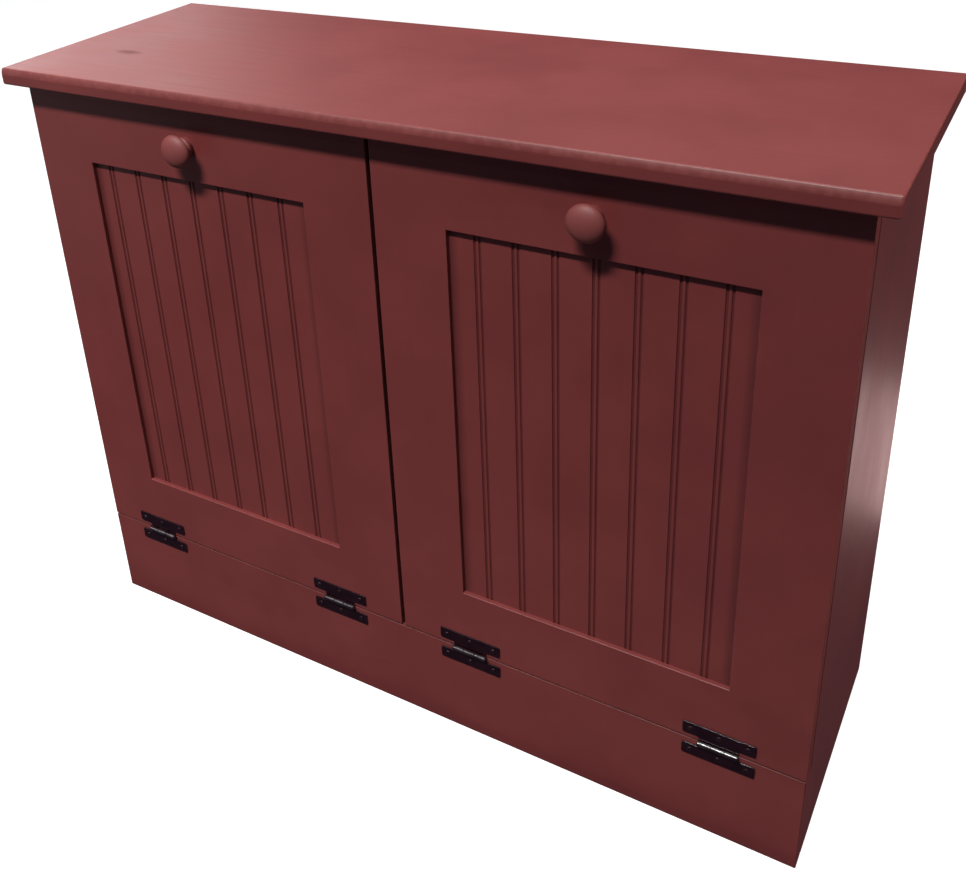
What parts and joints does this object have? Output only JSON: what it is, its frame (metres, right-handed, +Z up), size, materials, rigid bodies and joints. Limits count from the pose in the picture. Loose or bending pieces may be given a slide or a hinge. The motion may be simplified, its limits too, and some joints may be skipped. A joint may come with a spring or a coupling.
{
  "type": "tilt-out trash cabinet",
  "caption": "Low painted wooden cabinet with two bottom-hinged tilt-out doors, each with a beadboard panel, a round knob and a carrier that brings a plastic bin forward.",
  "frame": {"origin": "on the floor, at the centre of the whole cabinet's footprint with its knobs", "axes": "+X across the front to the right as seen from the front, +Y from the doors to the back, +Z up"},
  "size_m": [0.9524, 0.3298, 0.7497],
  "materials": {
    "painted_wood": "satin barn-red paint",
    "bare_wood": "bare sanded pine and plywood",
    "black_iron": "semi-gloss black",
    "steel": "zinc plated",
    "bin_plastic": "fine moulded texture",
    "catch_plastic": "moulded"
  },
  "bodies": {
    "cabinet": {"back_panel": "bare_wood", "back_panel_brads": "steel", "base_apron": "painted_wood", "base_hinge_screws": "black_iron", "case_screws": "steel", "catch_screws": "steel", "centre_divider": "bare_wood", "front_stretcher": "bare_wood", "hinge_1_base_leaf": "black_iron", "hinge_2_base_leaf": "black_iron", "hinge_3_base_leaf": "black_iron", "hinge_4_base_leaf": "black_iron", "hinge_pins": "black_iron", "left_shelf": "bare_wood", "left_side": "painted_wood", "magnetic_catches": "catch_plastic", "rear_stretcher": "bare_wood", "right_shelf": "bare_wood", "right_side": "painted_wood", "shelf_cleats": "bare_wood", "tilt_stop_blocks": "bare_wood", "top_board": "painted_wood"},
    "left_door": {"left_bin": "bin_plastic", "left_bracket_screws": "steel", "left_carrier_back_slat": "bare_wood", "left_carrier_brackets": "steel", "left_carrier_floor": "bare_wood", "left_carrier_inner_arm": "bare_wood", "left_carrier_outer_arm": "bare_wood", "left_carrier_screws": "steel", "left_door_bead_panel": "painted_wood", "left_door_bottom_rail": "painted_wood", "left_door_hinge_screws": "black_iron", "left_door_inner_stile": "painted_wood", "left_door_outer_stile": "painted_wood", "left_door_top_rail": "painted_wood", "left_knob": "painted_wood", "left_knob_screw": "steel", "left_strike_plate": "steel", "hinge_1_door_leaf": "black_iron", "hinge_2_door_leaf": "black_iron"},
    "right_door": {"right_bin": "bin_plastic", "right_bracket_screws": "steel", "right_carrier_back_slat": "bare_wood", "right_carrier_brackets": "steel", "right_carrier_floor": "bare_wood", "right_carrier_inner_arm": "bare_wood", "right_carrier_outer_arm": "bare_wood", "right_carrier_screws": "steel", "right_door_bead_panel": "painted_wood", "right_door_bottom_rail": "painted_wood", "right_door_hinge_screws": "black_iron", "right_door_inner_stile": "painted_wood", "right_door_outer_stile": "painted_wood", "right_door_top_rail": "painted_wood", "right_knob": "painted_wood", "right_knob_screw": "steel", "right_strike_plate": "steel", "hinge_3_door_leaf": "black_iron", "hinge_4_door_leaf": "black_iron"}
  },
  "joints": [
    {"name": "left_door_tilt", "type": "hinge", "parent": "cabinet", "child": "left_door", "pos_m": [-0.2298, -0.1431, 0.124], "axis": [1, 0, 0], "range_deg": [0, 35]},
    {"name": "right_door_tilt", "type": "hinge", "parent": "cabinet", "child": "right_door", "pos_m": [0.2298, -0.1431, 0.124], "axis": [1, 0, 0], "range_deg": [0, 35]}
  ]
}
